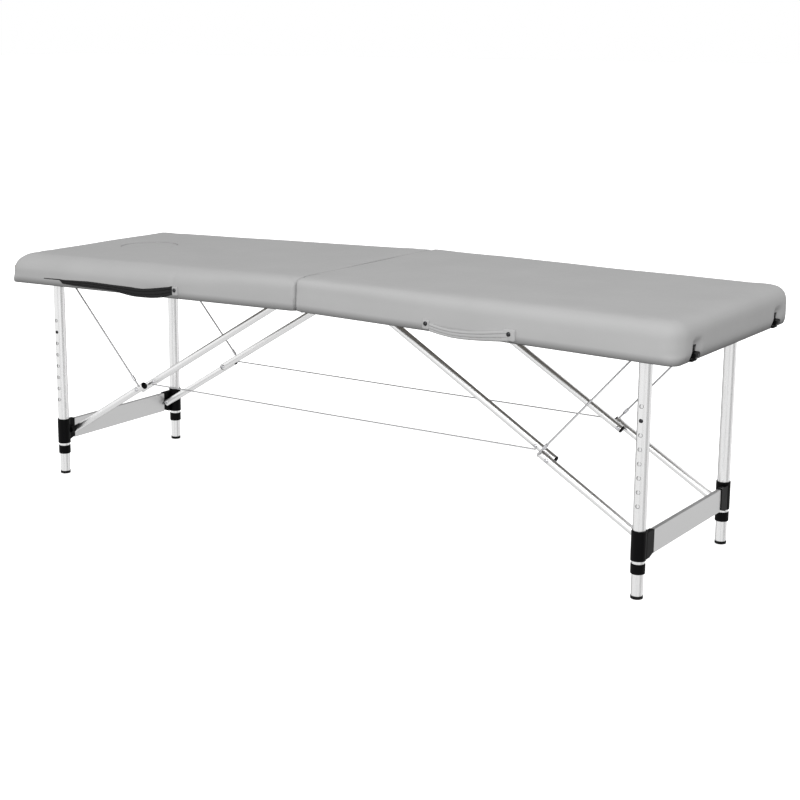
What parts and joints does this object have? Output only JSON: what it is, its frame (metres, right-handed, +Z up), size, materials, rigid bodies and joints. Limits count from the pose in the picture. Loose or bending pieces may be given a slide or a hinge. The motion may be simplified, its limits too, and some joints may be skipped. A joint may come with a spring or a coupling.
{
  "type": "portable massage table",
  "caption": "Folding padded massage table with braced telescopic legs, taut cables, a face hole with its plug, side handles and closing latches.",
  "frame": {"origin": "on the floor, under the middle of the open table", "axes": "+X along the table towards the foot half, +Y across it away from the handles, +Z up"},
  "size_m": [1.8869, 0.6098, 0.6149],
  "materials": {
    "vinyl": "satin embossed vinyl",
    "foam_core": "open foam",
    "plywood": "plain plywood",
    "aluminium": "satin anodised",
    "black_plastic": "satin moulded",
    "foot_rubber": "matt rubber",
    "steel_cable": "twisted steel wire",
    "steel": "zinc plated",
    "black_webbing": "woven webbing"
  },
  "bodies": {
    "centre": {"hinge_pin": "steel", "near_long_cable": "steel_cable", "far_long_cable": "steel_cable"},
    "foot_half": {"foot_frame": "aluminium", "foot_deck": "plywood", "foot_foam": "foam_core", "foot_cover": "vinyl", "foot_hinge_leaf": "steel", "foot_handle": "vinyl", "near_latch_catch": "black_plastic", "far_latch_catch": "black_plastic", "foot_near_top_cable": "steel_cable", "foot_far_top_cable": "steel_cable"},
    "foot_legs": {"foot_near_outer_tube": "aluminium", "foot_near_connector": "black_plastic", "foot_near_collar": "black_plastic", "foot_far_outer_tube": "aluminium", "foot_far_connector": "black_plastic", "foot_far_collar": "black_plastic", "foot_crossbar": "aluminium"},
    "foot_near_upper_brace": {"foot_near_upper_brace": "aluminium"},
    "foot_near_lower_brace": {"foot_near_lower_brace": "aluminium"},
    "foot_near_leg": {"foot_near_inner_tube": "aluminium", "foot_near_foot_cap": "foot_rubber"},
    "foot_near_button": {"foot_near_snap_button": "steel"},
    "foot_far_upper_brace": {"foot_far_upper_brace": "aluminium"},
    "foot_far_lower_brace": {"foot_far_lower_brace": "aluminium"},
    "foot_far_leg": {"foot_far_inner_tube": "aluminium", "foot_far_foot_cap": "foot_rubber"},
    "foot_far_button": {"foot_far_snap_button": "steel"},
    "head_half": {"head_frame": "aluminium", "head_deck": "plywood", "head_foam": "foam_core", "head_cover": "vinyl", "head_hinge_leaf": "steel", "head_handle": "black_webbing", "near_latch_base": "steel", "far_latch_base": "steel", "head_near_top_cable": "steel_cable", "head_far_top_cable": "steel_cable"},
    "head_legs": {"head_near_outer_tube": "aluminium", "head_near_connector": "black_plastic", "head_near_collar": "black_plastic", "head_far_outer_tube": "aluminium", "head_far_connector": "black_plastic", "head_far_collar": "black_plastic", "head_crossbar": "aluminium"},
    "head_near_upper_brace": {"head_near_upper_brace": "aluminium"},
    "head_near_lower_brace": {"head_near_lower_brace": "aluminium"},
    "head_near_leg": {"head_near_inner_tube": "aluminium", "head_near_foot_cap": "foot_rubber"},
    "head_near_button": {"head_near_snap_button": "steel"},
    "head_far_upper_brace": {"head_far_upper_brace": "aluminium"},
    "head_far_lower_brace": {"head_far_lower_brace": "aluminium"},
    "head_far_leg": {"head_far_inner_tube": "aluminium", "head_far_foot_cap": "foot_rubber"},
    "head_far_button": {"head_far_snap_button": "steel"},
    "near_lever": {"near_latch_lever": "black_plastic"},
    "far_lever": {"far_latch_lever": "black_plastic"},
    "plug": {"face_plug": "vinyl"}
  },
  "joints": [
    {"name": "foot_fold", "type": "hinge", "parent": "centre", "child": "foot_half", "pos_m": [0, 0, 0.5335], "axis": [0, 1, 0], "range_deg": [0, 89], "deforming": ["near_long_cable", "far_long_cable", "foot_near_top_cable", "foot_far_top_cable", "foot_handle"]},
    {"name": "foot_leg_fold", "type": "hinge", "parent": "foot_half", "child": "foot_legs", "pos_m": [0.83518, 0, 0.53643], "axis": [0, 1, 0], "range_deg": [0, 91.5]},
    {"name": "foot_near_upper_brace_swing", "type": "hinge", "parent": "foot_half", "child": "foot_near_upper_brace", "pos_m": [0.09046, -0.165, 0.55893], "axis": [0, 1, 0], "range_deg": [-30.51, 0]},
    {"name": "foot_near_lower_brace_swing", "type": "hinge", "parent": "foot_legs", "child": "foot_near_lower_brace", "pos_m": [0.82568, -0.187, 0.117], "axis": [0, 1, 0], "range_deg": [0, 61.89]},
    {"name": "foot_near_leg_slide", "type": "slide", "parent": "foot_legs", "child": "foot_near_leg", "axis": [0, 0, -1], "range_m": [-0.0305, 0.1525]},
    {"name": "foot_near_button_press", "type": "slide", "parent": "foot_near_leg", "child": "foot_near_button", "axis": [0, 1, 0], "range_m": [0, 0.0045], "stiffness_N_per_m": 800, "springref_m": -0.002},
    {"name": "foot_far_upper_brace_swing", "type": "hinge", "parent": "foot_half", "child": "foot_far_upper_brace", "pos_m": [0.09046, 0.165, 0.55893], "axis": [0, 1, 0], "range_deg": [-30.51, 0]},
    {"name": "foot_far_lower_brace_swing", "type": "hinge", "parent": "foot_legs", "child": "foot_far_lower_brace", "pos_m": [0.82568, 0.187, 0.117], "axis": [0, 1, 0], "range_deg": [0, 61.89]},
    {"name": "foot_far_leg_slide", "type": "slide", "parent": "foot_legs", "child": "foot_far_leg", "axis": [0, 0, -1], "range_m": [-0.0305, 0.1525]},
    {"name": "foot_far_button_press", "type": "slide", "parent": "foot_far_leg", "child": "foot_far_button", "axis": [0, -1, 0], "range_m": [0, 0.0045], "stiffness_N_per_m": 800, "springref_m": -0.002},
    {"name": "head_fold", "type": "hinge", "parent": "centre", "child": "head_half", "pos_m": [0, 0, 0.5335], "axis": [0, -1, 0], "range_deg": [0, 89], "deforming": ["head_near_top_cable", "head_far_top_cable", "head_handle"]},
    {"name": "head_leg_fold", "type": "hinge", "parent": "head_half", "child": "head_legs", "pos_m": [-0.83518, 0, 0.53643], "axis": [0, -1, 0], "range_deg": [0, 91.5]},
    {"name": "head_near_upper_brace_swing", "type": "hinge", "parent": "head_half", "child": "head_near_upper_brace", "pos_m": [-0.09046, -0.165, 0.55893], "axis": [0, -1, 0], "range_deg": [-30.51, 0]},
    {"name": "head_near_lower_brace_swing", "type": "hinge", "parent": "head_legs", "child": "head_near_lower_brace", "pos_m": [-0.82568, -0.187, 0.117], "axis": [0, -1, 0], "range_deg": [0, 61.89]},
    {"name": "head_near_leg_slide", "type": "slide", "parent": "head_legs", "child": "head_near_leg", "axis": [0, 0, -1], "range_m": [-0.0305, 0.1525]},
    {"name": "head_near_button_press", "type": "slide", "parent": "head_near_leg", "child": "head_near_button", "axis": [0, 1, 0], "range_m": [0, 0.0045], "stiffness_N_per_m": 800, "springref_m": -0.002},
    {"name": "head_far_upper_brace_swing", "type": "hinge", "parent": "head_half", "child": "head_far_upper_brace", "pos_m": [-0.09046, 0.165, 0.55893], "axis": [0, -1, 0], "range_deg": [-30.51, 0]},
    {"name": "head_far_lower_brace_swing", "type": "hinge", "parent": "head_legs", "child": "head_far_lower_brace", "pos_m": [-0.82568, 0.187, 0.117], "axis": [0, -1, 0], "range_deg": [0, 61.89]},
    {"name": "head_far_leg_slide", "type": "slide", "parent": "head_legs", "child": "head_far_leg", "axis": [0, 0, -1], "range_m": [-0.0305, 0.1525]},
    {"name": "head_far_button_press", "type": "slide", "parent": "head_far_leg", "child": "head_far_button", "axis": [0, -1, 0], "range_m": [0, 0.0045], "stiffness_N_per_m": 800, "springref_m": -0.002},
    {"name": "near_latch_lift", "type": "hinge", "parent": "head_half", "child": "near_lever", "pos_m": [-0.93912, -0.222, 0.53211], "axis": [0, 1, 0], "range_deg": [0, 100]},
    {"name": "far_latch_lift", "type": "hinge", "parent": "head_half", "child": "far_lever", "pos_m": [-0.93912, 0.222, 0.53211], "axis": [0, 1, 0], "range_deg": [0, 100]},
    {"name": "face_plug_lift", "type": "slide", "parent": "head_half", "child": "plug", "axis": [-0.0175, 0, 0.9998], "range_m": [0, 0.1]}
  ],
  "couplings": [
    {"joint": "foot_leg_fold", "follows": "foot_fold", "ratio": 1.0225},
    {"joint": "foot_near_upper_brace_swing", "follows": "foot_fold", "ratio": -0.33718},
    {"joint": "foot_near_lower_brace_swing", "follows": "foot_fold", "ratio": 0.68978},
    {"joint": "foot_far_upper_brace_swing", "follows": "foot_fold", "ratio": -0.33718},
    {"joint": "foot_far_lower_brace_swing", "follows": "foot_fold", "ratio": 0.68978},
    {"joint": "head_leg_fold", "follows": "head_fold", "ratio": 1.0225},
    {"joint": "head_near_upper_brace_swing", "follows": "head_fold", "ratio": -0.33718},
    {"joint": "head_near_lower_brace_swing", "follows": "head_fold", "ratio": 0.68978},
    {"joint": "head_far_upper_brace_swing", "follows": "head_fold", "ratio": -0.33718},
    {"joint": "head_far_lower_brace_swing", "follows": "head_fold", "ratio": 0.68978}
  ]
}
